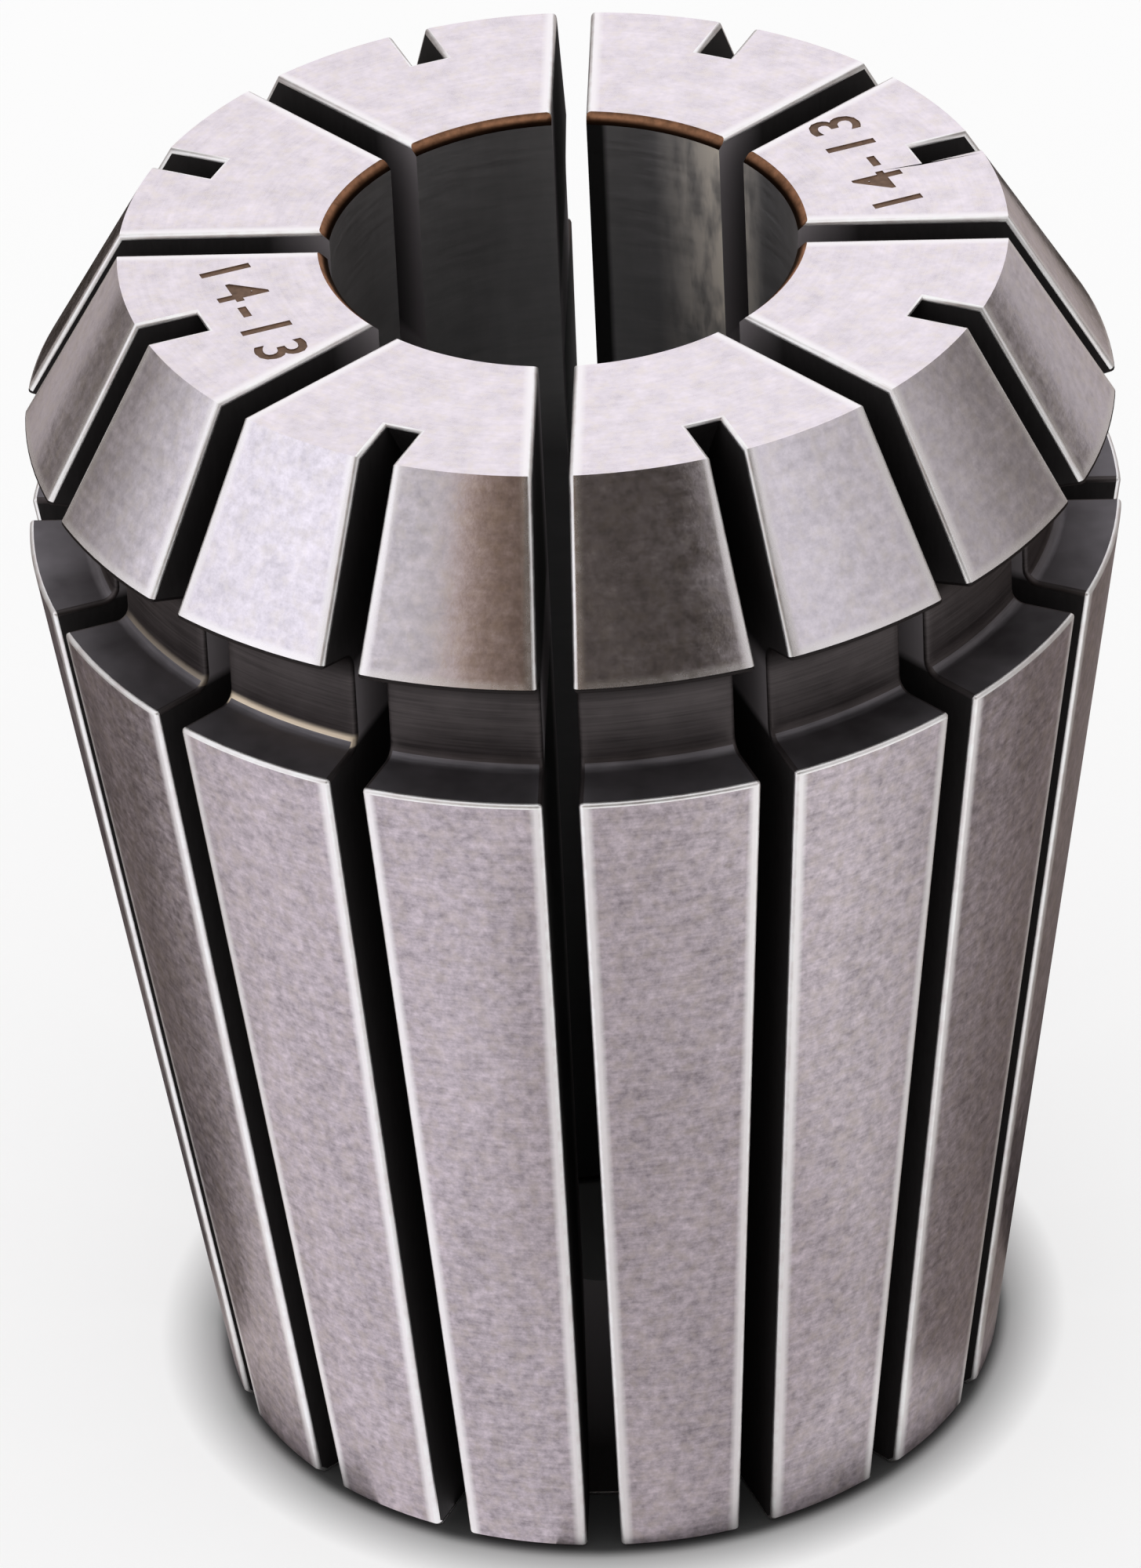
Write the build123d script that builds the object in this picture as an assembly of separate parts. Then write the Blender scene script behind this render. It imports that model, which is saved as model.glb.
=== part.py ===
from build123d import *
import math
import os

# ER collet of the 32 size, form B: one turned, hardened, slit and ground piece of spring steel.
# Frame: origin at the centre of the small end face, +Z along the axis towards the front face.
# The collet stands on its small end. Lengths are in millimetres, angles in degrees.

# Body turned and ground about the axis. Its largest diameter is at the top of the long taper.
collet_length = 40.0
largest_diameter = 33.0
taper_half_angle = 8.0
small_end_chamfer = 0.25

# Head that the nut presses on: a steep cone below the flat front face, with a sloping back
head_undersize = 0.2
head_cone_length = 5.45
head_half_angle = 30.0
head_back_angle = 20.0
edge_break = 0.12

# Groove that the nut's ring snaps into, to pull the collet out of its taper
groove_floor_width = 3.1
groove_depth = 2.0
groove_corner_radius = 0.4

# Bore that grips the tool's shank
bore_diameter = 14.0
bore_mouth_chamfer = 0.3

# Slots sawn by turns from both ends. Each stops at a web round the bore at the far end face,
# which it only notches from the rim inwards.
slots_from_each_end = 8
slot_width = 1.05
front_notch_depth = 1.85
rear_notch_depth = 2.7
saw_diameter = 63.0
saw_reach_into_bore = 1.0
saw_overrun = 2.0

# Radii and heights worked out from the sizes above
bore_radius = bore_diameter / 2
largest_radius = largest_diameter / 2
head_radius = largest_radius - head_undersize / 2
groove_radius = largest_radius - groove_depth
front_face_radius = head_radius - head_cone_length * math.tan(math.radians(head_half_angle))
head_edge_height = collet_length - head_cone_length
head_back_drop = (head_radius - groove_radius) * math.tan(math.radians(head_back_angle))
groove_top_height = head_edge_height - head_back_drop
taper_length = groove_top_height - groove_floor_width
small_end_radius = largest_radius - taper_length * math.tan(math.radians(taper_half_angle))
saw_radius = saw_diameter / 2
saw_tip_radius = bore_radius - saw_reach_into_bore
saw_centre_radius = saw_tip_radius + saw_radius
slot_pitch = 360 / slots_from_each_end


def turned_section():
    """Half section of the collet as turned, drawn in the XZ plane, with all its corners sharp."""
    outline = Polyline(
        (bore_radius, 0),
        (small_end_radius, 0),
        (largest_radius, taper_length),
        (groove_radius, taper_length),
        (groove_radius, groove_top_height),
        (head_radius, head_edge_height),
        (front_face_radius, collet_length),
        (bore_radius, collet_length),
        close=True,
    )
    return make_face(Plane.XZ * outline)


def corner_at(section, radius, height):
    """The half section's corner at the given radius and height."""
    return section.vertices().sort_by_distance((radius, 0, height))[0]


def finished_section():
    """Half section with its edges broken, its bore mouths chamfered and its groove corners rounded."""
    section = turned_section()
    broken_corners = [
        (largest_radius, taper_length),
        (head_radius, head_edge_height),
        (front_face_radius, collet_length),
    ]
    for radius, height in broken_corners:
        section = chamfer(corner_at(section, radius, height), edge_break)
    for height in (0, collet_length):
        section = chamfer(corner_at(section, bore_radius, height), bore_mouth_chamfer)
    section = chamfer(corner_at(section, small_end_radius, 0), small_end_chamfer)
    for height in (taper_length, groove_top_height):
        section = fillet(corner_at(section, groove_radius, height), groove_corner_radius)
    return section


def turned_body():
    """The collet as it leaves the lathe and grinder, before its slots are sawn."""
    return revolve(finished_section(), Axis.Z)


def saw_edge_at(height_below_stop):
    """Radius of the saw's cutting edge at a height below the place where its feed stops."""
    return saw_centre_radius - math.sqrt(saw_radius**2 - height_below_stop**2)


def saw_stop_height(web_radius):
    """Height of the saw's arbor when its edge has run out to the web's radius at height 0."""
    return math.sqrt(saw_radius**2 - (saw_centre_radius - web_radius) ** 2)


def sawn_slot(web_radius):
    """One slot along +X, open at the top and running out along the saw's edge at the bottom.

    It cuts through to the bore above, and at height 0 leaves a web as far out as the given radius.
    """
    stop_height = saw_stop_height(web_radius)
    bottom = -saw_overrun
    top = collet_length + saw_overrun
    outside = largest_radius + saw_overrun
    halfway_down = (stop_height - bottom) / 2
    saw_edge = ThreePointArc(
        (saw_tip_radius, stop_height),
        (saw_edge_at(halfway_down), stop_height - halfway_down),
        (saw_edge_at(stop_height - bottom), bottom),
    )
    open_sides = Polyline(
        saw_edge @ 1,
        (outside, bottom),
        (outside, top),
        (saw_tip_radius, top),
        saw_edge @ 0,
    )
    outline = make_face(Plane.XZ * Curve([saw_edge, open_sides]))
    return extrude(outline, amount=slot_width / 2, both=True)


def slots_from_front():
    """Slots open at the front face, with their webs at the small end."""
    slot = sawn_slot(small_end_radius - rear_notch_depth)
    return [Rot(0, 0, k * slot_pitch) * slot for k in range(slots_from_each_end)]


def slots_from_rear():
    """Slots open at the small end, midway between the others, with their webs at the front face."""
    slot = sawn_slot(front_face_radius - front_notch_depth)
    upturned_slot = mirror(slot, Plane.XY.offset(collet_length / 2))
    return [Rot(0, 0, (k + 0.5) * slot_pitch) * upturned_slot for k in range(slots_from_each_end)]


def collet_body():
    """The finished one-piece collet."""
    return turned_body() - slots_from_front() - slots_from_rear()


def main():
    os.makedirs("parts", exist_ok=True)
    export_step(collet_body(), "parts/collet_body.step")


main()
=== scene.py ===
import math

import bmesh
import bpy
from mathutils import Matrix, Vector


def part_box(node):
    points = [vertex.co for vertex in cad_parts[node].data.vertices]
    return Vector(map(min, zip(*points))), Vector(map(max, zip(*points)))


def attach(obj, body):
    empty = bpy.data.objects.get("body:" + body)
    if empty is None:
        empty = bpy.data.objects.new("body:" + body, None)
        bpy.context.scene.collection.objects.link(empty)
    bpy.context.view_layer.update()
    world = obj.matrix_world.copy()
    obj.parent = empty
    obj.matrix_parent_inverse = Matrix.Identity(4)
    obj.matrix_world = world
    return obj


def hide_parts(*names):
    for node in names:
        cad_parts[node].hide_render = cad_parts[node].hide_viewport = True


bl_info = {
    "name": "Collet Workshop",
    "version": (1, 0, 0),
    "blender": (4, 5, 0),
    "location": "3D View > Sidebar > Collet",
    "description": "Models a slit spring collet with ground and sawn surfaces, and a small studio for it",
    "category": "Object",
}

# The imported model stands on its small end, with its axis on Z. Everything below is in metres,
# except while the body is on the bench: there it is built a thousand times larger, in millimetres,
# so that its narrow bevels stay well above Blender's smallest lengths.

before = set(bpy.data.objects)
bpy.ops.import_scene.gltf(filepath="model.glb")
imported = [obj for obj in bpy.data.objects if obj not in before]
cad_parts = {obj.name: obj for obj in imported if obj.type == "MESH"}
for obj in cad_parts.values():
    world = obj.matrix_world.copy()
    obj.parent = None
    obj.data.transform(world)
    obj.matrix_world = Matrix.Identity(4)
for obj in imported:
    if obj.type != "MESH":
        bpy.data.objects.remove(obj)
CAD_NODE = "collet_body"
CAD_BODY = "root"
CAD_LOW, CAD_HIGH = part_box(CAD_NODE)
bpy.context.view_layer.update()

MM = 0.001
BENCH_SCALE = 1000.0
HEAD_HEIGHT = CAD_HIGH.z - 3 * MM
CARD_THICKNESS = 0.1 * MM

# Reach in millimetres over which the floor's glow comes up from nothing under the collet
GLOW_REACH = 30.0

# How bright the tent's wall is at azimuths from +X, running anticlockwise from behind the collet
TENT_TONES = (
    (90.01, 1.14), (115, 0.80), (132, 0.36), (150, 0.46), (155, 0.42), (160, 0.50), (166, 0.66), (173, 0.74),
    (180, 1.02), (222, 1.06), (230, 0.64), (246, 0.54), (250, 0.24), (262, 0.09), (300, 0.05), (309, 0.40),
    (319, 0.80), (336, 0.60), (358, 0.50), (374, 0.32), (400, 0.28), (425, 0.85), (449.9, 1.14),
)

# How far the wall turns brown at those azimuths, beside its dark opening, and the brown that it turns
TENT_BROWN = ((90.01, 0.0), (243, 0.0), (248, 1.0), (260, 1.0), (272, 0.0))
BROWN_CLOTH = (1.12, 0.90, 0.74)

# Surfaces of the body, in the order of its material slots
SURFACES = (
    "front_face", "front_cone", "long_taper", "rear_face", "nut_groove", "groove_flank", "bore", "bore_mouth",
    "saw_cut", "broken_edge", "number",
)


# ---------------------------------------------------------------------------------------------
# Sizes and colours that a user would change
# ---------------------------------------------------------------------------------------------

def length(name, description, default):
    """A length in metres, shown in the scene's units."""
    return bpy.props.FloatProperty(
        name=name, description=description, default=default, min=0.0, precision=5, unit="LENGTH"
    )


def angle(name, description, degrees):
    """An angle, given in degrees."""
    return bpy.props.FloatProperty(
        name=name, description=description, default=math.radians(degrees), subtype="ANGLE", unit="ROTATION"
    )


def colour(name, description, default):
    """A linear colour."""
    return bpy.props.FloatVectorProperty(
        name=name, description=description, default=default, size=3, min=0.0, max=1.0, subtype="COLOR"
    )


def amount(name, description, default, top=10.0):
    """A plain number from 0 up."""
    return bpy.props.FloatProperty(name=name, description=description, default=default, min=0.0, max=top)


class ColletSizes(bpy.types.PropertyGroup):
    """The sizes of the collet body."""

    collet_length: length("Length", "From the small end face to the front face", CAD_HIGH.z - CAD_LOW.z)
    largest_diameter: length("Largest diameter", "At the top of the long taper", 33.0 * MM)
    taper_half_angle: angle("Taper half angle", "Slope of the long taper to the axis", 8.0)
    small_end_chamfer: length("Small end chamfer", "Chamfer round the small end face", 0.25 * MM)
    head_undersize: length("Head undersize", "How much less the head's diameter is than the largest", 0.2 * MM)
    head_cone_length: length("Head cone length", "Height of the steep cone", 5.45 * MM)
    head_half_angle: angle("Head half angle", "Slope of the steep cone to the axis", 30.0)
    head_back_angle: angle("Head back angle", "Slope of the head's underside", 20.0)
    groove_floor_width: length("Groove floor width", "Height of the nut groove's floor", 3.1 * MM)
    groove_depth: length("Groove depth", "Depth of the nut groove below the taper", 2.0 * MM)
    groove_corner_radius: length("Groove corner radius", "Fillet in the groove's corners", 0.4 * MM)
    bore_diameter: length("Bore diameter", "The bore that grips the shank", 14.0 * MM)
    bore_mouth_chamfer: length("Bore mouth chamfer", "Chamfer at both ends of the bore", 0.3 * MM)
    edge_break: length("Edge break", "Width that the sharp edges are rounded over", 0.18 * MM)
    slot_width: length("Slot width", "Width of the sawn slots", 1.05 * MM)
    front_notch_depth: length("Front notch depth", "How far a rear slot notches the front face", 1.85 * MM)
    rear_notch_depth: length("Rear notch depth", "How far a front slot notches the small end", 2.7 * MM)
    saw_diameter: length("Saw diameter", "The slitting saw, which leaves the slots' run-out", 63.0 * MM)
    saw_reach_into_bore: length("Saw reach", "How far the saw cuts past the bore's wall", 1.0 * MM)
    saw_overrun: length("Saw overrun", "How far the saw's cut runs past the body", 2.0 * MM)
    slots_from_each_end: bpy.props.IntProperty(
        name="Slots from each end", description="Slots sawn from the front, and as many from the rear", default=8, min=3
    )
    number_size: length("Number size", "Font size of the numbers on the front face", 2.2 * MM)
    number_depth: length("Number depth", "Depth that the size numbers are engraved", 0.04 * MM)


class ColletColours(bpy.types.PropertyGroup):
    """The colours of the collet's surfaces."""

    face_steel: colour("Face steel", "Ground front face", (0.80, 0.742, 0.782))
    cone_steel: colour("Cone steel", "Ground steep cone", (0.79, 0.745, 0.808))
    taper_steel: colour("Taper steel", "Ground long taper", (0.53, 0.467, 0.508))
    groove_steel: colour("Groove steel", "Dark turned groove", (0.098, 0.086, 0.087))
    # Painted light: the flank gets lighter steel than the groove's floor, though both are the same dark turned steel
    flank_steel: colour("Flank steel", "Flank of the groove at the top of the taper", (0.20, 0.19, 0.205))
    bore_steel: colour("Bore steel", "Bore wall", (0.44, 0.435, 0.44))
    mouth_steel: colour("Bore mouth steel", "Chamfers of the bore, brown from heat", (0.25, 0.125, 0.07))
    saw_cut_steel: colour("Saw cut steel", "Walls of the slots", (0.022, 0.020, 0.021))
    edge_steel: colour("Edge steel", "Bright broken edges", (0.97, 0.93, 0.93))
    number_ink: colour("Number colour", "Bottom of the engraved numbers", (0.20, 0.12, 0.08))


class StudioSettings(bpy.types.PropertyGroup):
    """The camera, floor and lights."""

    camera_azimuth: angle("Camera azimuth", "Turn of the camera to the right of straight in front", 3.023)
    camera_elevation: angle("Camera elevation", "Height of the camera above level", 34.093)
    camera_roll: angle("Camera roll", "Turn of the camera about its line of sight", -2.768)
    camera_distance: length("Camera distance", "From the aim point to the camera", 326.769 * MM)
    camera_lens: amount("Camera lens", "Focal length in millimetres", 244.04, 1000.0)
    floor_colour: colour("Floor colour", "Pale paper", (0.62, 0.62, 0.62))
    floor_width: length("Floor width", "Side of the square floor", 6.0)
    floor_glow: amount("Floor glow", "Light that the floor adds where it shows as background", 0.575)
    tent_radius: length("Tent radius", "Distance of the light tent's wall", 0.5)
    tent_height: length("Tent height", "Height of the light tent's wall", 0.62)
    room_light: amount("Room light", "Strength of the white room on matte surfaces", 0.6)
    lamp_radiance: amount("Lamp radiance", "Brightness of the overhead lamp's face", 0.5)


# ---------------------------------------------------------------------------------------------
# The body on the bench, in millimetres
# ---------------------------------------------------------------------------------------------

# A collet that closes by a millimetre states the range of shanks that it grips
SIZE_RANGE = "14-13"
NUMBER_AZIMUTHS = (202.9, 23.3)
NUMBER_PLACE = 0.46
NUMBER_SPACING = 1.2
NUMBER_WEIGHT = 0.012

COLUMNS_PER_SLOT = 10
GROOVE_FILLET_STEPS = 5
EDGE_STEPS = 3
SAW_EDGE_STEPS = 48
SHARP_ANGLE = math.radians(50)
FLAT_ANGLE = math.radians(0.2)
WELD_DISTANCE = 0.0005


class Bench:
    """The collet's sizes in millimetres, with the radii and heights worked out from them."""

    def __init__(self, sizes):
        self.length = sizes.collet_length * BENCH_SCALE
        self.largest_radius = sizes.largest_diameter * BENCH_SCALE / 2
        self.bore_radius = sizes.bore_diameter * BENCH_SCALE / 2
        self.bore_chamfer = sizes.bore_mouth_chamfer * BENCH_SCALE
        self.small_end_chamfer = sizes.small_end_chamfer * BENCH_SCALE
        self.edge_break = sizes.edge_break * BENCH_SCALE
        self.groove_corner_radius = sizes.groove_corner_radius * BENCH_SCALE
        self.head_radius = self.largest_radius - sizes.head_undersize * BENCH_SCALE / 2
        self.groove_radius = self.largest_radius - sizes.groove_depth * BENCH_SCALE
        cone_length = sizes.head_cone_length * BENCH_SCALE
        self.face_radius = self.head_radius - cone_length * math.tan(sizes.head_half_angle)
        self.head_edge_height = self.length - cone_length
        head_back = self.head_radius - self.groove_radius
        self.groove_top = self.head_edge_height - head_back * math.tan(sizes.head_back_angle)
        self.taper_length = self.groove_top - sizes.groove_floor_width * BENCH_SCALE
        self.taper_slope = math.tan(sizes.taper_half_angle)
        self.small_end_radius = self.largest_radius - self.taper_length * self.taper_slope
        self.slot_width = sizes.slot_width * BENCH_SCALE
        self.slots = sizes.slots_from_each_end
        self.saw_radius = sizes.saw_diameter * BENCH_SCALE / 2
        self.saw_overrun = sizes.saw_overrun * BENCH_SCALE
        self.saw_tip_radius = self.bore_radius - sizes.saw_reach_into_bore * BENCH_SCALE
        self.saw_centre_radius = self.saw_tip_radius + self.saw_radius
        self.front_web_radius = self.face_radius - sizes.front_notch_depth * BENCH_SCALE
        self.rear_web_radius = self.small_end_radius - sizes.rear_notch_depth * BENCH_SCALE
        self.number_radius = self.bore_radius + NUMBER_PLACE * (self.face_radius - self.bore_radius)
        self.number_size = sizes.number_size * BENCH_SCALE
        self.number_depth = sizes.number_depth * BENCH_SCALE

    def section(self):
        """Corners of the half section, as (radius, height), from the bore's foot round the outside."""
        chamfered_end = self.small_end_radius + self.small_end_chamfer * self.taper_slope
        return [
            (self.bore_radius, self.bore_chamfer),
            (self.bore_radius + self.bore_chamfer, 0.0),
            (self.small_end_radius - self.small_end_chamfer, 0.0),
            (chamfered_end, self.small_end_chamfer),
            (self.largest_radius, self.taper_length),
            (self.groove_radius, self.taper_length),
            (self.groove_radius, self.groove_top),
            (self.head_radius, self.head_edge_height),
            (self.face_radius, self.length),
            (self.bore_radius + self.bore_chamfer, self.length),
            (self.bore_radius, self.length - self.bore_chamfer),
        ]


def close_section(bm, corners):
    """A closed wire in the XZ plane through the given corners."""
    verts = [bm.verts.new((radius, 0.0, height)) for radius, height in corners]
    return verts, [bm.edges.new(pair) for pair in zip(verts, verts[1:] + verts[:1])]


def tidy(bm):
    """Welds doubles and turns the faces outwards."""
    bmesh.ops.remove_doubles(bm, verts=bm.verts, dist=WELD_DISTANCE)
    bmesh.ops.recalc_face_normals(bm, faces=bm.faces)


def surface_of(face, bench):
    """The surface that a face of the turned blank belongs to."""
    centre = face.calc_center_median()
    radius = math.hypot(centre.x, centre.y)
    outwards = face.normal.x * centre.x + face.normal.y * centre.y
    if face.normal.z > 0.9 and centre.z > bench.head_edge_height:
        return "front_face"
    if face.normal.z < -0.9 and centre.z < bench.small_end_chamfer:
        return "rear_face"
    if outwards < 0 and radius < bench.bore_radius + bench.bore_chamfer:
        return "bore_mouth" if abs(face.normal.z) > 0.5 else "bore"
    if centre.z > bench.head_edge_height:
        return "front_cone"
    if centre.z > bench.taper_length - WELD_DISTANCE:
        return "groove_flank" if face.normal.z > 0.5 else "nut_groove"
    return "long_taper"


def turned_blank(bench):
    """The body before its slots are sawn: the half section spun round the axis, its groove corners rounded."""
    bm = bmesh.new()
    verts, edges = close_section(bm, bench.section())
    columns = 2 * bench.slots * COLUMNS_PER_SLOT
    half_column = Matrix.Rotation(math.pi / columns, 3, "Z")
    bmesh.ops.rotate(bm, verts=verts, cent=(0, 0, 0), matrix=half_column)
    bmesh.ops.spin(
        bm, geom=verts + edges, cent=(0, 0, 0), axis=(0, 0, 1), angle=math.tau, steps=columns, use_merge=True
    )
    tidy(bm)
    corners = (bench.taper_length, bench.groove_top)
    groove_corners = [
        edge for edge in bm.edges
        if all(abs(math.hypot(v.co.x, v.co.y) - bench.groove_radius) < WELD_DISTANCE for v in edge.verts)
        and any(all(abs(v.co.z - height) < WELD_DISTANCE for v in edge.verts) for height in corners)
    ]
    bmesh.ops.bevel(
        bm, geom=groove_corners, offset=bench.groove_corner_radius, offset_type="OFFSET", affect="EDGES",
        segments=GROOVE_FILLET_STEPS, profile=0.5, material=-1, clamp_overlap=True,
    )
    bm.normal_update()
    for face in bm.faces:
        face.material_index = SURFACES.index(surface_of(face, bench))
    return bm


def saw_cut(bench, web_radius):
    """One slot's cut along +X, open at the top, running out along the saw's edge to the web at height 0."""
    bm = bmesh.new()
    centre = bench.saw_centre_radius
    stop_height = math.sqrt(bench.saw_radius ** 2 - (centre - web_radius) ** 2)
    bottom_turn = math.asin((stop_height + bench.saw_overrun) / bench.saw_radius)
    tip = bm.verts.new((bench.saw_tip_radius, 0.0, stop_height))
    bmesh.ops.spin(
        bm, geom=[tip], cent=(centre, 0, stop_height), axis=(0, 1, 0), angle=-bottom_turn, steps=SAW_EDGE_STEPS
    )
    edge_run = list(bm.edges)
    outer = max(bm.verts, key=lambda vert: vert.co.x)
    past_body = bmesh.ops.extrude_vert_indiv(bm, verts=[outer])
    past_body["verts"][0].co.x = bench.largest_radius + bench.saw_overrun
    curtain = bmesh.ops.extrude_edge_only(bm, edges=edge_run + past_body["edges"])
    for vert in curtain["geom"]:
        if isinstance(vert, bmesh.types.BMVert):
            vert.co.z = bench.length + bench.saw_overrun
    bmesh.ops.translate(bm, verts=bm.verts, vec=(0, -bench.slot_width / 2, 0))
    slab = bmesh.ops.extrude_face_region(bm, geom=list(bm.faces), use_keep_orig=True)
    moved = [item for item in slab["geom"] if isinstance(item, bmesh.types.BMVert)]
    bmesh.ops.translate(bm, verts=moved, vec=(0, bench.slot_width, 0))
    tidy(bm)
    return bm


def all_saw_cuts(bench):
    """Every slot's cut: those from the front, and midway between them those from the rear."""
    cuts = bmesh.new()
    pitch = math.tau / bench.slots
    upturned = Matrix.Translation((0, 0, bench.length)) @ Matrix.Scale(-1, 4, (0, 0, 1))
    for web_radius, flip, first in (
        (bench.rear_web_radius, Matrix.Identity(4), 0.0),
        (bench.front_web_radius, upturned, pitch / 2),
    ):
        cut = saw_cut(bench, web_radius)
        bmesh.ops.transform(cut, matrix=flip, verts=cut.verts)
        for index in range(bench.slots):
            turned = cut.copy()
            turn = Matrix.Rotation(first + index * pitch, 3, "Z")
            bmesh.ops.rotate(turned, verts=turned.verts, cent=(0, 0, 0), matrix=turn)
            add_mesh(cuts, turned)
        cut.free()
    bmesh.ops.recalc_face_normals(cuts, faces=cuts.faces)
    for face in cuts.faces:
        face.material_index = SURFACES.index("saw_cut")
    return cuts


def number_cuts(bench):
    """The size range, as plain numbers, cut into two of the front face's sectors."""
    cuts = bmesh.new()
    curve = bpy.data.curves.new("size_range", "FONT")
    curve.body = SIZE_RANGE
    curve.size = bench.number_size
    curve.space_character = NUMBER_SPACING
    curve.align_x = "CENTER"
    curve.align_y = "CENTER"
    curve.extrude = bench.number_depth
    curve.offset = bench.number_size * NUMBER_WEIGHT
    curve.resolution_u = 3
    text = bpy.data.objects.new("size_range", curve)
    bpy.context.scene.collection.objects.link(text)
    depsgraph = bpy.context.evaluated_depsgraph_get()
    mesh = bpy.data.meshes.new_from_object(text.evaluated_get(depsgraph))
    bpy.data.objects.remove(text)
    bpy.data.curves.remove(curve)
    for azimuth in NUMBER_AZIMUTHS:
        letters = bmesh.new()
        letters.from_mesh(mesh)
        outwards = Matrix.Translation((0, -bench.number_radius, bench.length))
        turn = Matrix.Rotation(math.radians(azimuth + 90), 4, "Z")
        bmesh.ops.transform(letters, matrix=turn @ outwards, verts=letters.verts)
        add_mesh(cuts, letters)
    bpy.data.meshes.remove(mesh)
    tidy(cuts)
    for face in cuts.faces:
        face.material_index = SURFACES.index("number")
    return cuts


def add_mesh(target, source):
    """Adds a bmesh's geometry to another, and frees it."""
    mesh = bpy.data.meshes.new("scrap")
    source.to_mesh(mesh)
    source.free()
    target.from_mesh(mesh)
    bpy.data.meshes.remove(mesh)


def bench_object(name, bm, materials):
    """An object in the scene that holds a bmesh, with all the body's material slots."""
    mesh = bpy.data.meshes.new(name)
    bm.to_mesh(mesh)
    bm.free()
    for material in materials:
        mesh.materials.append(material)
    piece = bpy.data.objects.new(name, mesh)
    bpy.context.scene.collection.objects.link(piece)
    return piece


def cut_away(blank, cutter):
    """The mesh that is left of the blank after the cutter's shape is taken from it."""
    boolean = blank.modifiers.new("cut", "BOOLEAN")
    boolean.operation = "DIFFERENCE"
    boolean.solver = "EXACT"
    boolean.use_self = True
    boolean.material_mode = "INDEX"
    boolean.object = cutter
    depsgraph = bpy.context.evaluated_depsgraph_get()
    mesh = bpy.data.meshes.new_from_object(blank.evaluated_get(depsgraph))
    for used in (blank, cutter):
        used_mesh = used.data
        bpy.data.objects.remove(used)
        bpy.data.meshes.remove(used_mesh)
    return mesh


def surfaces_beside(edge):
    """The surfaces that meet at an edge."""
    return {SURFACES[face.material_index] for face in edge.link_faces}


def is_sharp_ridge(edge):
    """True for an edge that stands out between two faces, apart from those that the grinding leaves crisp."""
    beside = surfaces_beside(edge)
    if beside & {"bore", "bore_mouth", "number"} or beside == {"front_face", "front_cone"}:
        return False
    return edge.is_convex and edge.calc_face_angle() > SHARP_ANGLE


def in_groove(face, bench):
    """True for a face on the groove's own edges, or on the head's edge above it."""
    centre = face.calc_center_median()
    if centre.z > bench.groove_top:
        return centre.z < bench.head_edge_height + bench.edge_break
    off_taper = bench.largest_radius - math.hypot(centre.x, centre.y)
    return centre.z > bench.taper_length - bench.edge_break and off_taper > 1.5 * bench.edge_break


def break_edges(bm, bench):
    """Rounds every sharp ridge, and marks it as a broken edge, apart from those in the dark groove."""
    bmesh.ops.dissolve_limit(
        bm, angle_limit=FLAT_ANGLE, use_dissolve_boundaries=False, verts=bm.verts, edges=bm.edges,
        delimit={"MATERIAL"},
    )
    ridges = [edge for edge in bm.edges if is_sharp_ridge(edge)]
    rounded = bmesh.ops.bevel(
        bm, geom=ridges, offset=bench.edge_break, offset_type="OFFSET", affect="EDGES", segments=EDGE_STEPS,
        profile=0.5, material=-1, clamp_overlap=True, loop_slide=True,
    )
    for face in rounded["faces"]:
        face.material_index = SURFACES.index("nut_groove" if in_groove(face, bench) else "broken_edge")


def model_body(bench, materials):
    """The finished body's mesh object, in place and at full size."""
    blank = bench_object("blank", turned_blank(bench), materials)
    cuts = all_saw_cuts(bench)
    add_mesh(cuts, number_cuts(bench))
    cutter = bench_object("saw", cuts, materials)
    mesh = cut_away(blank, cutter)
    bm = bmesh.new()
    bm.from_mesh(mesh)
    bmesh.ops.remove_doubles(bm, verts=bm.verts, dist=WELD_DISTANCE)
    break_edges(bm, bench)
    for face in bm.faces:
        face.smooth = True
    bmesh.ops.scale(bm, verts=bm.verts, vec=(1 / BENCH_SCALE,) * 3)
    bm.to_mesh(mesh)
    bm.free()
    mesh.name = "collet"
    mesh.set_sharp_from_angle(angle=SHARP_ANGLE)
    piece = bpy.data.objects.new("collet", mesh)
    bpy.context.scene.collection.objects.link(piece)
    piece.modifiers.new("even_shading", "WEIGHTED_NORMAL").keep_sharp = True
    return piece


# ---------------------------------------------------------------------------------------------
# Surfaces
# ---------------------------------------------------------------------------------------------

class Signal:
    """A number on a shader socket. Python's operators on it add Math nodes."""

    def __init__(self, graph, socket):
        self.graph = graph
        self.socket = socket

    def maths(self, operation, left, right):
        return self.graph.add("ShaderNodeMath", {"operation": operation}, {0: left, 1: right})

    def __add__(self, other):
        return self.maths("ADD", self, other)

    def __radd__(self, other):
        return self.maths("ADD", other, self)

    def __sub__(self, other):
        return self.maths("SUBTRACT", self, other)

    def __rsub__(self, other):
        return self.maths("SUBTRACT", other, self)

    def __mul__(self, other):
        return self.maths("MULTIPLY", self, other)

    def __rmul__(self, other):
        return self.maths("MULTIPLY", other, self)

    def __truediv__(self, other):
        return self.maths("DIVIDE", self, other)

    def __rtruediv__(self, other):
        return self.maths("DIVIDE", other, self)

    def __pow__(self, other):
        return self.maths("POWER", self, other)

    def __rpow__(self, other):
        return self.maths("POWER", other, self)

    def larger(self, other):
        return self.maths("MAXIMUM", self, other)

    def size(self):
        return self.graph.add("ShaderNodeMath", {"operation": "ABSOLUTE"}, {0: self})

    def wrapped(self, top):
        return self.graph.add("ShaderNodeMath", {"operation": "WRAP"}, {0: self, 1: top, 2: 0.0})


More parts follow.
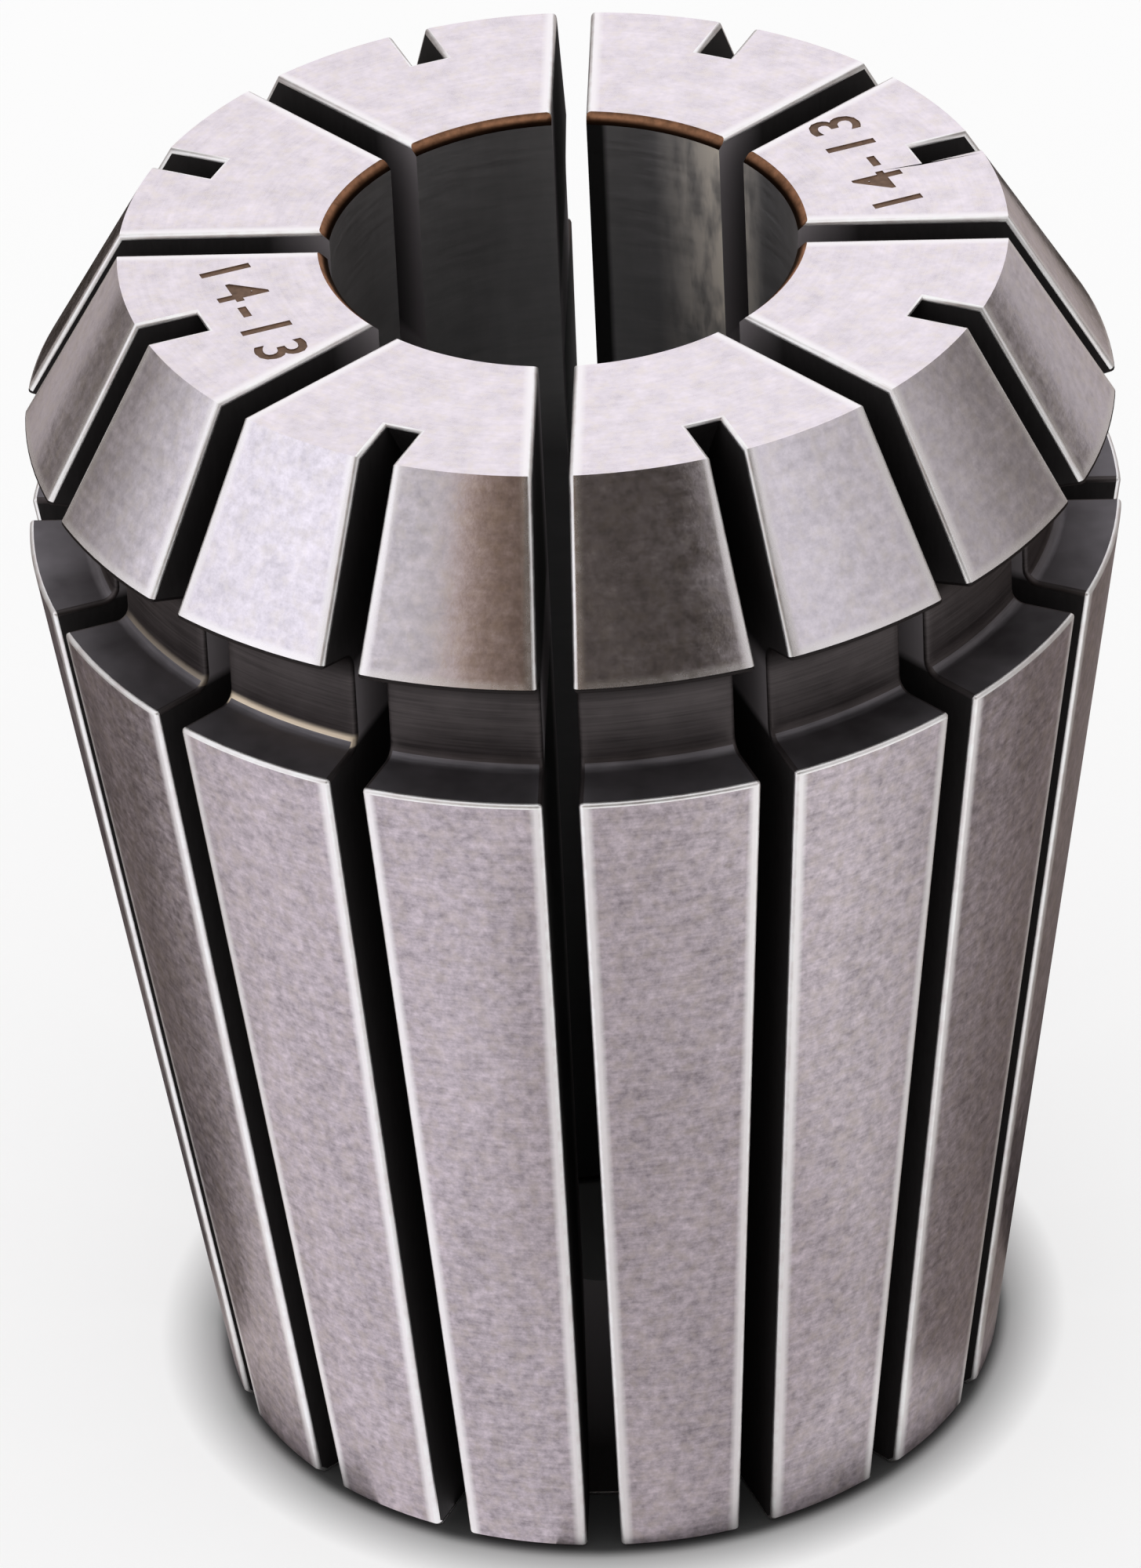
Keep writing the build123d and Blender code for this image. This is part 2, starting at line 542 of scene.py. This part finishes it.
class Graph:
    """The node tree of one material or world, built a node at a time."""

    def __init__(self, owner):
        owner.use_nodes = True
        self.tree = owner.node_tree
        self.tree.nodes.clear()

    def add(self, kind, settings=None, inputs=None, output=0):
        """Adds a node, makes its settings, gives its sockets values or links, and returns an output."""
        node = self.tree.nodes.new(kind)
        for name, value in (settings or {}).items():
            if name == "stops":
                self.set_stops(node.color_ramp, value)
            else:
                setattr(node, name, value)
        for name, value in (inputs or {}).items():
            if isinstance(value, Signal):
                self.tree.links.new(value.socket, node.inputs[name])
            elif value is not None:
                node.inputs[name].default_value = value
        return Signal(self, node.outputs[output]) if node.outputs else None

    @staticmethod
    def set_stops(ramp, stops):
        """Gives a colour ramp its stops, as (position, grey) pairs."""
        while len(ramp.elements) > 1:
            ramp.elements.remove(ramp.elements[-1])
        for index, (position, grey) in enumerate(stops):
            element = ramp.elements[0] if index == 0 else ramp.elements.new(position)
            element.position = position
            element.color = (grey, grey, grey, 1.0)

    def ramp(self, value, *stops):
        """A number remapped through (position, grey) stops."""
        return self.add("ShaderNodeValToRGB", {"stops": stops}, {0: value})

    def point(self):
        """The place on the piece, in millimetres."""
        place = self.add("ShaderNodeTexCoord", output="Object")
        return self.add(
            "ShaderNodeVectorMath", {"operation": "SCALE"}, {0: place, "Scale": BENCH_SCALE}
        )

    def stretched(self, point, scale):
        """The place stretched by a factor along each axis."""
        return self.add("ShaderNodeVectorMath", {"operation": "MULTIPLY"}, {0: point, 1: scale})

    def parts(self, point):
        """The place's parts along X, Y and Z."""
        first = self.add("ShaderNodeSeparateXYZ", {}, {0: point})
        return [Signal(self, socket) for socket in first.socket.node.outputs]

    def off_axis(self, point):
        """The place's distance from the Z axis."""
        level = self.stretched(point, (1, 1, 0))
        return self.add("ShaderNodeVectorMath", {"operation": "LENGTH"}, {0: level}, output="Value")

    def turn(self, across, depth):
        """The angle of a place about the Z axis, in radians from X."""
        return self.add("ShaderNodeMath", {"operation": "ARCTAN2"}, {0: depth, 1: across})

    def noise(self, place, scale, detail=2.0, roughness=0.5):
        """Soft noise from 0 to 1."""
        return self.add(
            "ShaderNodeTexNoise", {"noise_dimensions": "3D"},
            {"Vector": place, "Scale": scale, "Detail": detail, "Roughness": roughness},
        )

    def mix_colours(self, factor, first, second):
        """Two colours mixed by a factor."""
        return self.add(
            "ShaderNodeMix", {"data_type": "RGBA"}, {0: factor, 6: opaque(first), 7: opaque(second)}, output=2
        )


def opaque(value):
    """A colour with its alpha added, or a signal as it is."""
    return value if isinstance(value, Signal) else (*value, 1.0)


def shade(value, factor):
    """A colour made lighter or darker by a factor."""
    return tuple(min(1.0, channel * factor) for channel in value)


# Bright burnished steel, partly a painted highlight along the edges, and how far in millimetres it reaches from the
# slots' walls and from the head's rim
BURNISHED_HIGHLIGHT = (1.0, 0.975, 0.98)
EDGE_WEAR_AND_HIGHLIGHT = 0.42
RIM_WEAR_AND_HIGHLIGHT = 0.38

# Steel's reflection at a grazing angle, as a share of white
GRAZING_TINT = (0.72, 0.66, 0.62)


def finish(graph, base, roughness, height, bump_strength=0.3, bump_depth=0.01 * MM, metallic=1.0):
    """The shader at the end of a material, with a bump of a height from 0 to 1."""
    normal = graph.add(
        "ShaderNodeBump", {}, {"Strength": bump_strength, "Distance": bump_depth, "Height": height}
    )
    shader = graph.add(
        "ShaderNodeBsdfPrincipled", {},
        {
            "Base Color": opaque(base), "Metallic": metallic, "Roughness": roughness,
            "Specular IOR Level": 0.3, "Specular Tint": opaque(GRAZING_TINT), "Normal": normal,
        },
    )
    graph.add("ShaderNodeOutputMaterial", {}, {"Surface": shader})


def beside_slots(graph, point, slots, first_slot, half_width, reach):
    """1 beside the slots' walls, falling to 0 over a reach, where the edges are burnished bright and carry a painted
    highlight.
    """
    across, depth, height = graph.parts(point)
    pitch = math.tau / slots
    off_slot = (graph.turn(across, depth) - first_slot + pitch / 2).wrapped(pitch) - pitch / 2
    off_wall = (off_slot * graph.off_axis(point)).size() - half_width
    return graph.ramp(off_wall / reach, (0.0, 1.0), (0.55, 0.85), (1.0, 0.0))


def ground_steel(name, steel, look):
    """Ground steel: fine grinding marks, a close mottled grain, faint clouding, and bright edges by the slots,
    burnished and with a painted highlight.
    """
    material = bpy.data.materials.new(name)
    graph = Graph(material)
    point = graph.point()
    across, depth, height = graph.parts(point)
    down_slope = (graph.off_axis(point) + height) * 9.0
    lay_place = graph.add("ShaderNodeCombineXYZ", {}, {0: across * 0.45, 1: depth * 0.45, 2: down_slope})
    lay = graph.noise(lay_place, 1.0, 3.0, 0.6)
    grain = graph.noise(point, 3.0, 3.0, 0.7)
    cloud = graph.noise(graph.stretched(point, look["cloud"]), 1.0, 3.0, 0.55)
    tint = graph.noise(graph.stretched(point, (2.3, 2.3, 2.1)), 1.0, 2.0, 0.6)
    clouded = look["clouded"]
    tone = lay * look["lay"] + grain * (1.0 - clouded - look["lay"]) + cloud * clouded
    spread = look["contrast"]
    ground = graph.mix_colours(
        graph.ramp(tone, (0.34, 0.0), (0.66, 1.0)), shade(steel, 1.0 - spread), shade(steel, 1.0 + spread * 0.8)
    )
    warmer = tuple(channel * share for channel, share in zip(steel, (1.04, 1.02, 0.84)))
    tinted = graph.mix_colours(graph.ramp(tint, (0.46, 0.0), (0.68, look["tint"])), ground, warmer)
    # Burnished wear and a painted highlight beside the slots and along the head's rim
    wear_and_highlight = beside_slots(graph, point, look["slots"], look["first_slot"], look["slot_half_width"], EDGE_WEAR_AND_HIGHLIGHT)
    if look["rim"]:
        wear_and_highlight = wear_and_highlight.larger(graph.ramp((height - look["rim"]) / RIM_WEAR_AND_HIGHLIGHT, (0.0, 1.0), (0.6, 0.8), (1.0, 0.0)))
    base = graph.mix_colours(wear_and_highlight, tinted, BURNISHED_HIGHLIGHT)
    rough = look["roughness"] + (lay - 0.5) * 0.12 + (grain - 0.5) * 0.16 + (cloud - 0.5) * 0.12 + wear_and_highlight * 0.12
    finish(graph, base, rough, lay * look["lay"] + grain * (1.0 - look["lay"]), look["bump"], 0.012 * MM)
    return material


def dark_steel(name, steel, stretch, roughness, metallic=1.0):
    """Steel left dark from hardening, or a dark mark on it."""
    material = bpy.data.materials.new(name)
    graph = Graph(material)
    point = graph.point()
    marks = graph.noise(graph.stretched(point, stretch), 1.0, 3.0, 0.6)
    cloud = graph.noise(point, 0.6, 3.0, 0.55)
    base = graph.mix_colours(
        graph.ramp(marks * 0.6 + cloud * 0.4, (0.36, 0.0), (0.64, 1.0)), shade(steel, 0.7), shade(steel, 1.35)
    )
    finish(graph, base, roughness + (marks - 0.5) * 0.2, marks, 0.4, 0.015 * MM, metallic)
    return material


def groove_steel(name, steel, bench):
    """The dark turned floor of the nut groove, with a painted shadow under the head, and a painted golden highlight
    along its lower corner on the front left.
    """
    material = bpy.data.materials.new(name)
    graph = Graph(material)
    point = graph.point()
    across, depth, height = graph.parts(point)
    marks = graph.noise(graph.stretched(point, (0.3, 0.3, 12.0)), 1.0, 3.0, 0.6)
    cloud = graph.noise(point, 0.6, 3.0, 0.55)
    uneven = graph.ramp(marks * 0.6 + cloud * 0.4, (0.36, 0.0), (0.64, 1.0))
    turned = graph.mix_colours(uneven, shade(steel, 0.7), shade(steel, 1.35))
    up_wall = (height - bench.taper_length) / (bench.groove_top - bench.taper_length)
    # Painted shadow of the head: the groove's floor darkens towards its top and under the head
    head_shadow = graph.ramp(up_wall, (0.62, 0.0), (0.72, 0.1), (0.86, 1.0))
    dark = graph.mix_colours(head_shadow, turned, shade(steel, 0.3))
    # A painted highlight along the groove's lower corner, on the front left only
    share = graph.turn(across, depth) / math.tau + 1.0
    side = graph.ramp(share, (0.565, 0.0), (0.575, 0.35), (0.622, 0.35), (0.63, 1.0), (0.681, 1.0), (0.686, 0.0))
    corner = graph.ramp(up_wall, (0.008, 0.0), (0.02, 1.0), (0.085, 1.0), (0.13, 0.0))
    base = graph.mix_colours(side * corner, dark, (0.95, 0.83, 0.66))
    finish(graph, base, 0.55 + (marks - 0.5) * 0.2, marks, 0.4, 0.015 * MM)
    return material


def mouth_steel(name, steel, bench):
    """The chamfers of the bore, brown from heat at their rim and darker towards the bore."""
    material = bpy.data.materials.new(name)
    graph = Graph(material)
    point = graph.point()
    marks = graph.noise(graph.stretched(point, (3.0, 3.0, 3.0)), 1.0, 3.0, 0.6)
    uneven = graph.mix_colours(graph.ramp(marks, (0.36, 0.0), (0.64, 1.0)), shade(steel, 0.75), shade(steel, 1.35))
    to_rim = (graph.off_axis(point) - bench.bore_radius) / bench.bore_chamfer
    base = graph.mix_colours(graph.ramp(to_rim, (0.25, 0.0), (0.6, 1.0)), shade(steel, 0.15), uneven)
    finish(graph, base, 0.45 + (marks - 0.5) * 0.2, marks, 0.4, 0.015 * MM)
    return material


def bore_steel(name, steel, bench):
    """The ground bore, dull, with painted shade deep down, a painted glint in a strip at the back right, and a dark
    band beside the back slot.
    """
    material = bpy.data.materials.new(name)
    graph = Graph(material)
    point = graph.point()
    across, depth, height = graph.parts(point)
    marks = graph.noise(graph.stretched(point, (0.7, 0.7, 5.0)), 1.0, 3.0, 0.6)
    cloud = graph.noise(graph.stretched(point, (1.6, 1.6, 0.5)), 1.0, 3.0, 0.6)
    to_right = across / bench.bore_radius
    to_back = depth / bench.bore_radius
    # A painted glint: a strip of the back right wall painted light and matte
    strip = graph.ramp(to_right, (0.36, 0.0), (0.56, 0.7), (0.66, 1.0), (0.74, 0.7), (0.80, 0.4), (0.86, 0.0))
    painted_glint = strip * graph.ramp(to_back, (0.5, 0.0), (0.6, 1.0)) * graph.ramp(cloud, (0.35, 0.35), (0.58, 1.0))
    # A dark band on the bore wall beside the back slot
    dark_band = graph.ramp(to_right, (0.07, 0.0), (0.075, 1.0), (0.14, 1.0), (0.165, 0.0)) * graph.ramp(
        to_back, (0.0, 0.0), (0.1, 1.0)
    )
    ground = graph.mix_colours(marks * 0.6 + cloud * 0.4, shade(steel, 0.7), shade(steel, 1.3))
    # Painted shade: the bore's colour darkens deep down, where less light reaches
    lit = graph.ramp(height / bench.length, (0.70, 0.0), (0.76, 1.0))
    deep = graph.mix_colours(lit, shade(steel, 0.45), ground)
    with_glint = graph.mix_colours(painted_glint, deep, (0.97, 0.87, 0.76))
    base = graph.mix_colours(dark_band, with_glint, shade(steel, 0.1))
    finish(graph, base, 0.5 + (marks - 0.5) * 0.2, marks, 0.4, 0.015 * MM, 1.0 - painted_glint)
    return material


def sawn_steel(name, steel, bench):
    """Slot walls, black with oil and scale, with painted light where they open into the bore and inside the nut groove.
    """
    material = bpy.data.materials.new(name)
    graph = Graph(material)
    point = graph.point()
    across, depth, height = graph.parts(point)
    marks = graph.noise(graph.stretched(point, (6.0, 6.0, 1.5)), 1.0, 3.0, 0.6)
    # Painted light on the slot walls near the bore and inside the nut groove
    painted_light_by_bore = graph.ramp((graph.off_axis(point) - bench.bore_radius) / 3.0, (0.0, 1.0), (0.25, 0.5), (0.6, 0.0))
    up_wall = (height - bench.taper_length) / (bench.groove_top - bench.taper_length)
    painted_light_by_groove = graph.ramp(up_wall, (0.0, 0.0), (0.1, 1.0), (0.75, 1.0), (0.95, 0.0))
    scale = graph.mix_colours(marks, shade(steel, 0.7), shade(steel, 1.4))
    base = graph.mix_colours(painted_light_by_bore.larger(painted_light_by_groove), scale, shade(steel, 14.0))
    finish(graph, base, 0.7, marks, 0.4, 0.015 * MM, 0.0)
    return material


def bright_edge(name, steel):
    """Broken edges, brightened by rubbing, with small nicks."""
    material = bpy.data.materials.new(name)
    graph = Graph(material)
    point = graph.point()
    wear = graph.noise(point, 1.6, 3.0, 0.6)
    base = graph.mix_colours(graph.ramp(wear, (0.35, 0.0), (0.6, 1.0)), shade(steel, 0.92), shade(steel, 1.1))
    finish(graph, base, 0.42 + (wear - 0.5) * 0.2, wear, 0.2, 0.01 * MM)
    return material


def surface_materials(colours, bench):
    """The materials of the body's surfaces, in the order of its slots."""
    face_look = {
        "slots": bench.slots, "first_slot": 0.0, "slot_half_width": bench.slot_width / 2, "rim": None, "roughness": 0.30,
        "lay": 0.20, "clouded": 0.45, "contrast": 0.20, "tint": 0.35, "bump": 0.25, "cloud": (0.9, 0.9, 0.9),
    }
    cone_look = {
        **face_look, "slots": 2 * bench.slots, "rim": bench.head_edge_height, "roughness": 0.17,
        "lay": 0.25, "clouded": 0.20, "contrast": 0.24, "tint": 0.30, "bump": 0.30, "cloud": (1.1, 1.1, 0.12),
    }
    taper_look = {
        **cone_look, "rim": None, "roughness": 0.34,
        "lay": 0.20, "contrast": 0.44, "tint": 0.35, "bump": 0.40, "cloud": (0.6, 0.6, 0.05),
    }
    rear_look = {**taper_look, "slots": bench.slots, "first_slot": math.pi / bench.slots, "cloud": (0.6, 0.6, 0.6)}
    made = {
        "front_face": ground_steel("front_face_steel", colours.face_steel, face_look),
        "front_cone": ground_steel("front_cone_steel", colours.cone_steel, cone_look),
        "long_taper": ground_steel("long_taper_steel", colours.taper_steel, taper_look),
        "rear_face": ground_steel("rear_face_steel", colours.taper_steel, rear_look),
        "nut_groove": groove_steel("nut_groove_steel", colours.groove_steel, bench),
        # The flank's steel is painted lighter than the groove floor's, as painted light
        "groove_flank": dark_steel("groove_flank_steel", colours.flank_steel, (0.3, 0.3, 12.0), 0.55),
        "bore": bore_steel("bore_steel", colours.bore_steel, bench),
        "bore_mouth": mouth_steel("bore_mouth_steel", colours.mouth_steel, bench),
        "saw_cut": sawn_steel("saw_cut_steel", colours.saw_cut_steel, bench),
        "broken_edge": bright_edge("broken_edge_steel", colours.edge_steel),
        "number": dark_steel("number_mark", colours.number_ink, (4.0, 4.0, 4.0), 0.7, 0.0),
    }
    return [made[surface] for surface in SURFACES]


# ---------------------------------------------------------------------------------------------
# Operators
# ---------------------------------------------------------------------------------------------

class COLLET_OT_body(bpy.types.Operator):
    """Model the one-piece collet body and finish its surfaces"""

    bl_idname = "collet.body"
    bl_label = "Collet body"

    def execute(self, context):
        bench = Bench(context.scene.collet_sizes)
        piece = model_body(bench, surface_materials(context.scene.collet_colours, bench))
        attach(piece, CAD_BODY)
        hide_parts(CAD_NODE)
        return {"FINISHED"}


def studio_camera(studio):
    """The camera, aimed a little off the middle of the collet."""
    azimuth, elevation, roll = studio.camera_azimuth, studio.camera_elevation, studio.camera_roll
    back = Vector((
        math.sin(azimuth) * math.cos(elevation),
        -math.cos(azimuth) * math.cos(elevation),
        math.sin(elevation),
    ))
    level_right = (-back).cross(Vector((0, 0, 1))).normalized()
    level_up = level_right.cross(-back)
    right = level_right * math.cos(roll) + level_up * math.sin(roll)
    up = level_up * math.cos(roll) - level_right * math.sin(roll)
    aim = Vector((-0.526 * MM, 0.0, (CAD_LOW.z + CAD_HIGH.z) / 2 + 0.395 * MM))
    camera = bpy.data.objects.new("camera", bpy.data.cameras.new("camera"))
    camera.data.lens = studio.camera_lens
    camera.data.clip_start = 0.01
    camera.data.shift_x = (727.5 - 728.378) / 2000
    camera.data.shift_y = (998.189 - 1000) / 2000
    place = Matrix((right, up, back)).transposed().to_4x4()
    place.translation = aim + back * studio.camera_distance
    camera.matrix_world = place
    bpy.context.scene.collection.objects.link(camera)
    bpy.context.scene.camera = camera


def background_rays(graph):
    """1 for the rays that show a background: those from the camera, and those that metal or glass sends on."""
    camera = graph.add("ShaderNodeLightPath", output="Is Camera Ray")
    glossy = graph.add("ShaderNodeLightPath", output="Is Glossy Ray")
    through = graph.add("ShaderNodeLightPath", output="Is Transmission Ray")
    return camera.larger(glossy).larger(through)


def stage_sheet(name, width, depth, material, place):
    """A flat rectangle that belongs to the stage, with its place in its mesh."""
    bm = bmesh.new()
    bmesh.ops.create_grid(bm, x_segments=1, y_segments=1, size=0.5)
    bmesh.ops.scale(bm, verts=bm.verts, vec=(width, depth, 1.0))
    bmesh.ops.transform(bm, matrix=place, verts=bm.verts)
    mesh = bpy.data.meshes.new(name)
    bm.to_mesh(mesh)
    bm.free()
    mesh.materials.append(material)
    sheet = bpy.data.objects.new(name, mesh)
    bpy.context.scene.collection.objects.link(sheet)
    return sheet


def studio_floor(studio):
    """Pale paper that the collet stands on, a little brighter where it shows as background, with a painted shadow under
    and round the collet's foot.
    """
    material = bpy.data.materials.new("pale_paper")
    graph = Graph(material)
    reach = graph.add("ShaderNodeVectorMath", {"operation": "LENGTH"}, {0: graph.point()}, output="Value")
    # Painted shadow: the paper is painted dark where the collet covers it, and its glow fades in just round the
    # collet's foot as a painted soft shadow there
    unshadowed_paper = graph.ramp(reach / GLOW_REACH, (0.0, 0.0), (0.405, 0.0), (0.42, 1.0))
    colour_there = graph.mix_colours(unshadowed_paper, (0.10, 0.10, 0.10), tuple(studio.floor_colour))
    paper = graph.add("ShaderNodeBsdfDiffuse", {}, {"Color": colour_there, "Roughness": 0.5})
    glow_past_shadow = graph.ramp(reach / GLOW_REACH, (0.0, 0.0), (0.41, 0.0), (0.48, 1.0))
    strength = background_rays(graph) * glow_past_shadow * studio.floor_glow
    glow = graph.add("ShaderNodeEmission", {}, {"Color": opaque((1, 1, 1)), "Strength": strength})
    both = graph.add("ShaderNodeAddShader", {}, {0: paper, 1: glow})
    graph.add("ShaderNodeOutputMaterial", {}, {"Surface": both})
    stage_sheet("floor", studio.floor_width, studio.floor_width, material, Matrix.Identity(4))


def only_in_reflections(sheet):
    """Hides a sheet from everything but shiny surfaces, as something outside the picture would be."""
    sheet.visible_camera = False
    sheet.visible_diffuse = False
    sheet.visible_shadow = False
    sheet.visible_transmission = False


def tone_colour(graph, tone):
    """The colour of a card of some tone, warmer the darker it is."""
    return graph.add("ShaderNodeCombineColor", {}, {0: tone ** 0.95, 1: tone * 0.99, 2: tone ** 1.07 * 1.03})


def card_material(name, tone):
    """A matte card of one tone."""
    material = bpy.data.materials.new(name)
    graph = Graph(material)
    grey = graph.add("ShaderNodeValue")
    grey.socket.default_value = tone
    card = graph.add("ShaderNodeEmission", {}, {"Color": tone_colour(graph, grey), "Strength": 1.0})
    graph.add("ShaderNodeOutputMaterial", {}, {"Surface": card})
    return material


def round_wall(tones):
    """Ramp stops, as shares of the way round from behind the collet, for tones at azimuths."""
    return [((azimuth - 90) % 360 / 360, tone) for azimuth, tone in tones]


def tent_wall(studio):
    """The wall of the light tent: white behind and at both sides in front, with a dark opening for the camera."""
    bm = bmesh.new()
    ring = bmesh.ops.create_circle(bm, segments=96, radius=studio.tent_radius)
    wall = bmesh.ops.extrude_edge_only(bm, edges=bm.edges)
    top = [item for item in wall["geom"] if isinstance(item, bmesh.types.BMVert)]
    bmesh.ops.translate(bm, verts=top, vec=(0, 0, studio.tent_height))
    mesh = bpy.data.meshes.new("tent_wall")
    bm.to_mesh(mesh)
    bm.free()
    material = bpy.data.materials.new("tent_cloth")
    graph = Graph(material)
    across, depth, height = graph.parts(graph.add("ShaderNodeTexCoord", output="Object"))
    # The turn runs from 0 behind the collet, anticlockwise past the left, the camera and the right
    share = graph.turn(depth, across * -1.0).wrapped(math.tau) / math.tau
    rise = height / studio.tent_height
    tone = graph.ramp(share, *round_wall(TENT_TONES)) * graph.ramp(rise, (0.0, 0.5), (0.05, 0.6), (0.25, 1.0))
    brown = graph.ramp(share, *round_wall(TENT_BROWN))
    colour_there = graph.add(
        "ShaderNodeMix", {"data_type": "RGBA", "blend_type": "MULTIPLY"},
        {0: brown, 6: tone_colour(graph, tone), 7: opaque(BROWN_CLOTH)}, output=2,
    )
    cloth = graph.add("ShaderNodeEmission", {}, {"Color": colour_there, "Strength": 1.0})
    graph.add("ShaderNodeOutputMaterial", {}, {"Surface": cloth})
    mesh.materials.append(material)
    wall = bpy.data.objects.new("tent_wall", mesh)
    bpy.context.scene.collection.objects.link(wall)
    only_in_reflections(wall)


def floor_card(name, near_x, far_x, near_y, far_y, tone, layer):
    """A grey card that lies on the floor between two places each way, seen only in reflections."""
    place = Matrix.Translation(((near_x + far_x) / 2, (near_y + far_y) / 2, layer * CARD_THICKNESS))
    sheet = stage_sheet(name, abs(far_x - near_x), abs(far_y - near_y), card_material(name, tone), place)
    only_in_reflections(sheet)


def floor_cards():
    """Cards on the floor round the collet, which shade its sides and its front as a table would."""
    floor_card("far_left_card", -0.50, -0.15, 0.09, 0.50, 0.18, 1)
    floor_card("back_card", -0.15, 0.50, 0.09, 0.50, 0.56, 1)
    floor_card("left_card", -0.50, -0.014, -0.003, 0.09, 0.20, 1)
    floor_card("right_card", 0.013, 0.50, -0.010, 0.09, 0.27, 1)
    floor_card("close_left_card", -0.022, -0.011, 0.002, 0.06, 0.01, 2)
    floor_card("close_right_card", 0.012, 0.020, 0.002, 0.06, 0.01, 2)
    floor_card("outer_left_card", -0.036, -0.022, 0.018, 0.06, 0.01, 2)
    floor_card("middle_card", -0.06, 0.03, 0.06, 0.50, 0.03, 2)
    floor_card("front_left_card", -0.07, -0.0095, -0.05, -0.0085, 0.95, 1)
    floor_card("front_card", -0.0095, 0.018, -0.055, -0.0125, 0.64, 1)
    floor_card("front_middle_card", -0.0095, -0.0015, -0.022, -0.010, 0.86, 2)


def towards(azimuth, elevation):
    """The direction of some azimuth from +X and some elevation, both in degrees."""
    turn, rise = math.radians(azimuth), math.radians(elevation)
    return Vector((math.cos(turn) * math.cos(rise), math.sin(turn) * math.cos(rise), math.sin(rise)))


def studio_lamp(name, azimuth, elevation, distance, width, height, radiance):
    """A square soft lamp that faces the collet, of a given radiance."""
    lamp = bpy.data.lights.new(name, "AREA")
    lamp.shape = "RECTANGLE"
    lamp.size = width
    lamp.size_y = height
    lamp.energy = radiance * math.pi * width * height
    direction = towards(azimuth, elevation)
    holder = bpy.data.objects.new(name, lamp)
    holder.location = direction * distance + Vector((0, 0, HEAD_HEIGHT))
    holder.rotation_euler = direction.to_track_quat("Z", "Y").to_euler()
    # Polished faces turned upwards would show the lamp as a glare
    holder.visible_glossy = False
    bpy.context.scene.collection.objects.link(holder)


def studio_world(studio):
    """A white room, dimmer as a light than it looks."""
    world = bpy.data.worlds.new("studio")
    bpy.context.scene.world = world
    graph = Graph(world)
    seen = background_rays(graph)
    strength = studio.room_light + seen * (1.0 - studio.room_light)
    light = graph.add("ShaderNodeBackground", {}, {"Color": opaque((1, 1, 1)), "Strength": strength})
    graph.add("ShaderNodeOutputWorld", {}, {"Surface": light})


class COLLET_OT_studio(bpy.types.Operator):
    """Set the camera, the pale floor and the soft studio light"""

    bl_idname = "collet.studio"
    bl_label = "Studio"

    def execute(self, context):
        studio = context.scene.collet_studio
        studio_camera(studio)
        studio_floor(studio)
        studio_world(studio)
        tent_wall(studio)
        floor_cards()
        studio_lamp("overhead_lamp", 90, 84, 0.70, 0.60, 0.60, studio.lamp_radiance)
        context.scene.view_settings.view_transform = "Standard"
        return {"FINISHED"}


class COLLET_PT_workshop(bpy.types.Panel):
    """The collet's steps, sizes and colours"""

    bl_label = "Collet"
    bl_idname = "COLLET_PT_workshop"
    bl_space_type = "VIEW_3D"
    bl_region_type = "UI"
    bl_category = "Collet"

    def draw(self, context):
        for operator in (COLLET_OT_body, COLLET_OT_studio):
            self.layout.operator(operator.bl_idname)
        for group in (context.scene.collet_sizes, context.scene.collet_colours, context.scene.collet_studio):
            box = self.layout.box()
            for name in group.__annotations__:
                box.prop(group, name)


CLASSES = (ColletSizes, ColletColours, StudioSettings, COLLET_OT_body, COLLET_OT_studio, COLLET_PT_workshop)


def register():
    for cls in CLASSES:
        bpy.utils.register_class(cls)
    bpy.types.Scene.collet_sizes = bpy.props.PointerProperty(type=ColletSizes)
    bpy.types.Scene.collet_colours = bpy.props.PointerProperty(type=ColletColours)
    bpy.types.Scene.collet_studio = bpy.props.PointerProperty(type=StudioSettings)


def unregister():
    del bpy.types.Scene.collet_studio
    del bpy.types.Scene.collet_colours
    del bpy.types.Scene.collet_sizes
    for cls in reversed(CLASSES):
        bpy.utils.unregister_class(cls)


def main():
    register()
    bpy.ops.collet.body()
    bpy.ops.collet.studio()


if __name__ == "__main__":
    main()
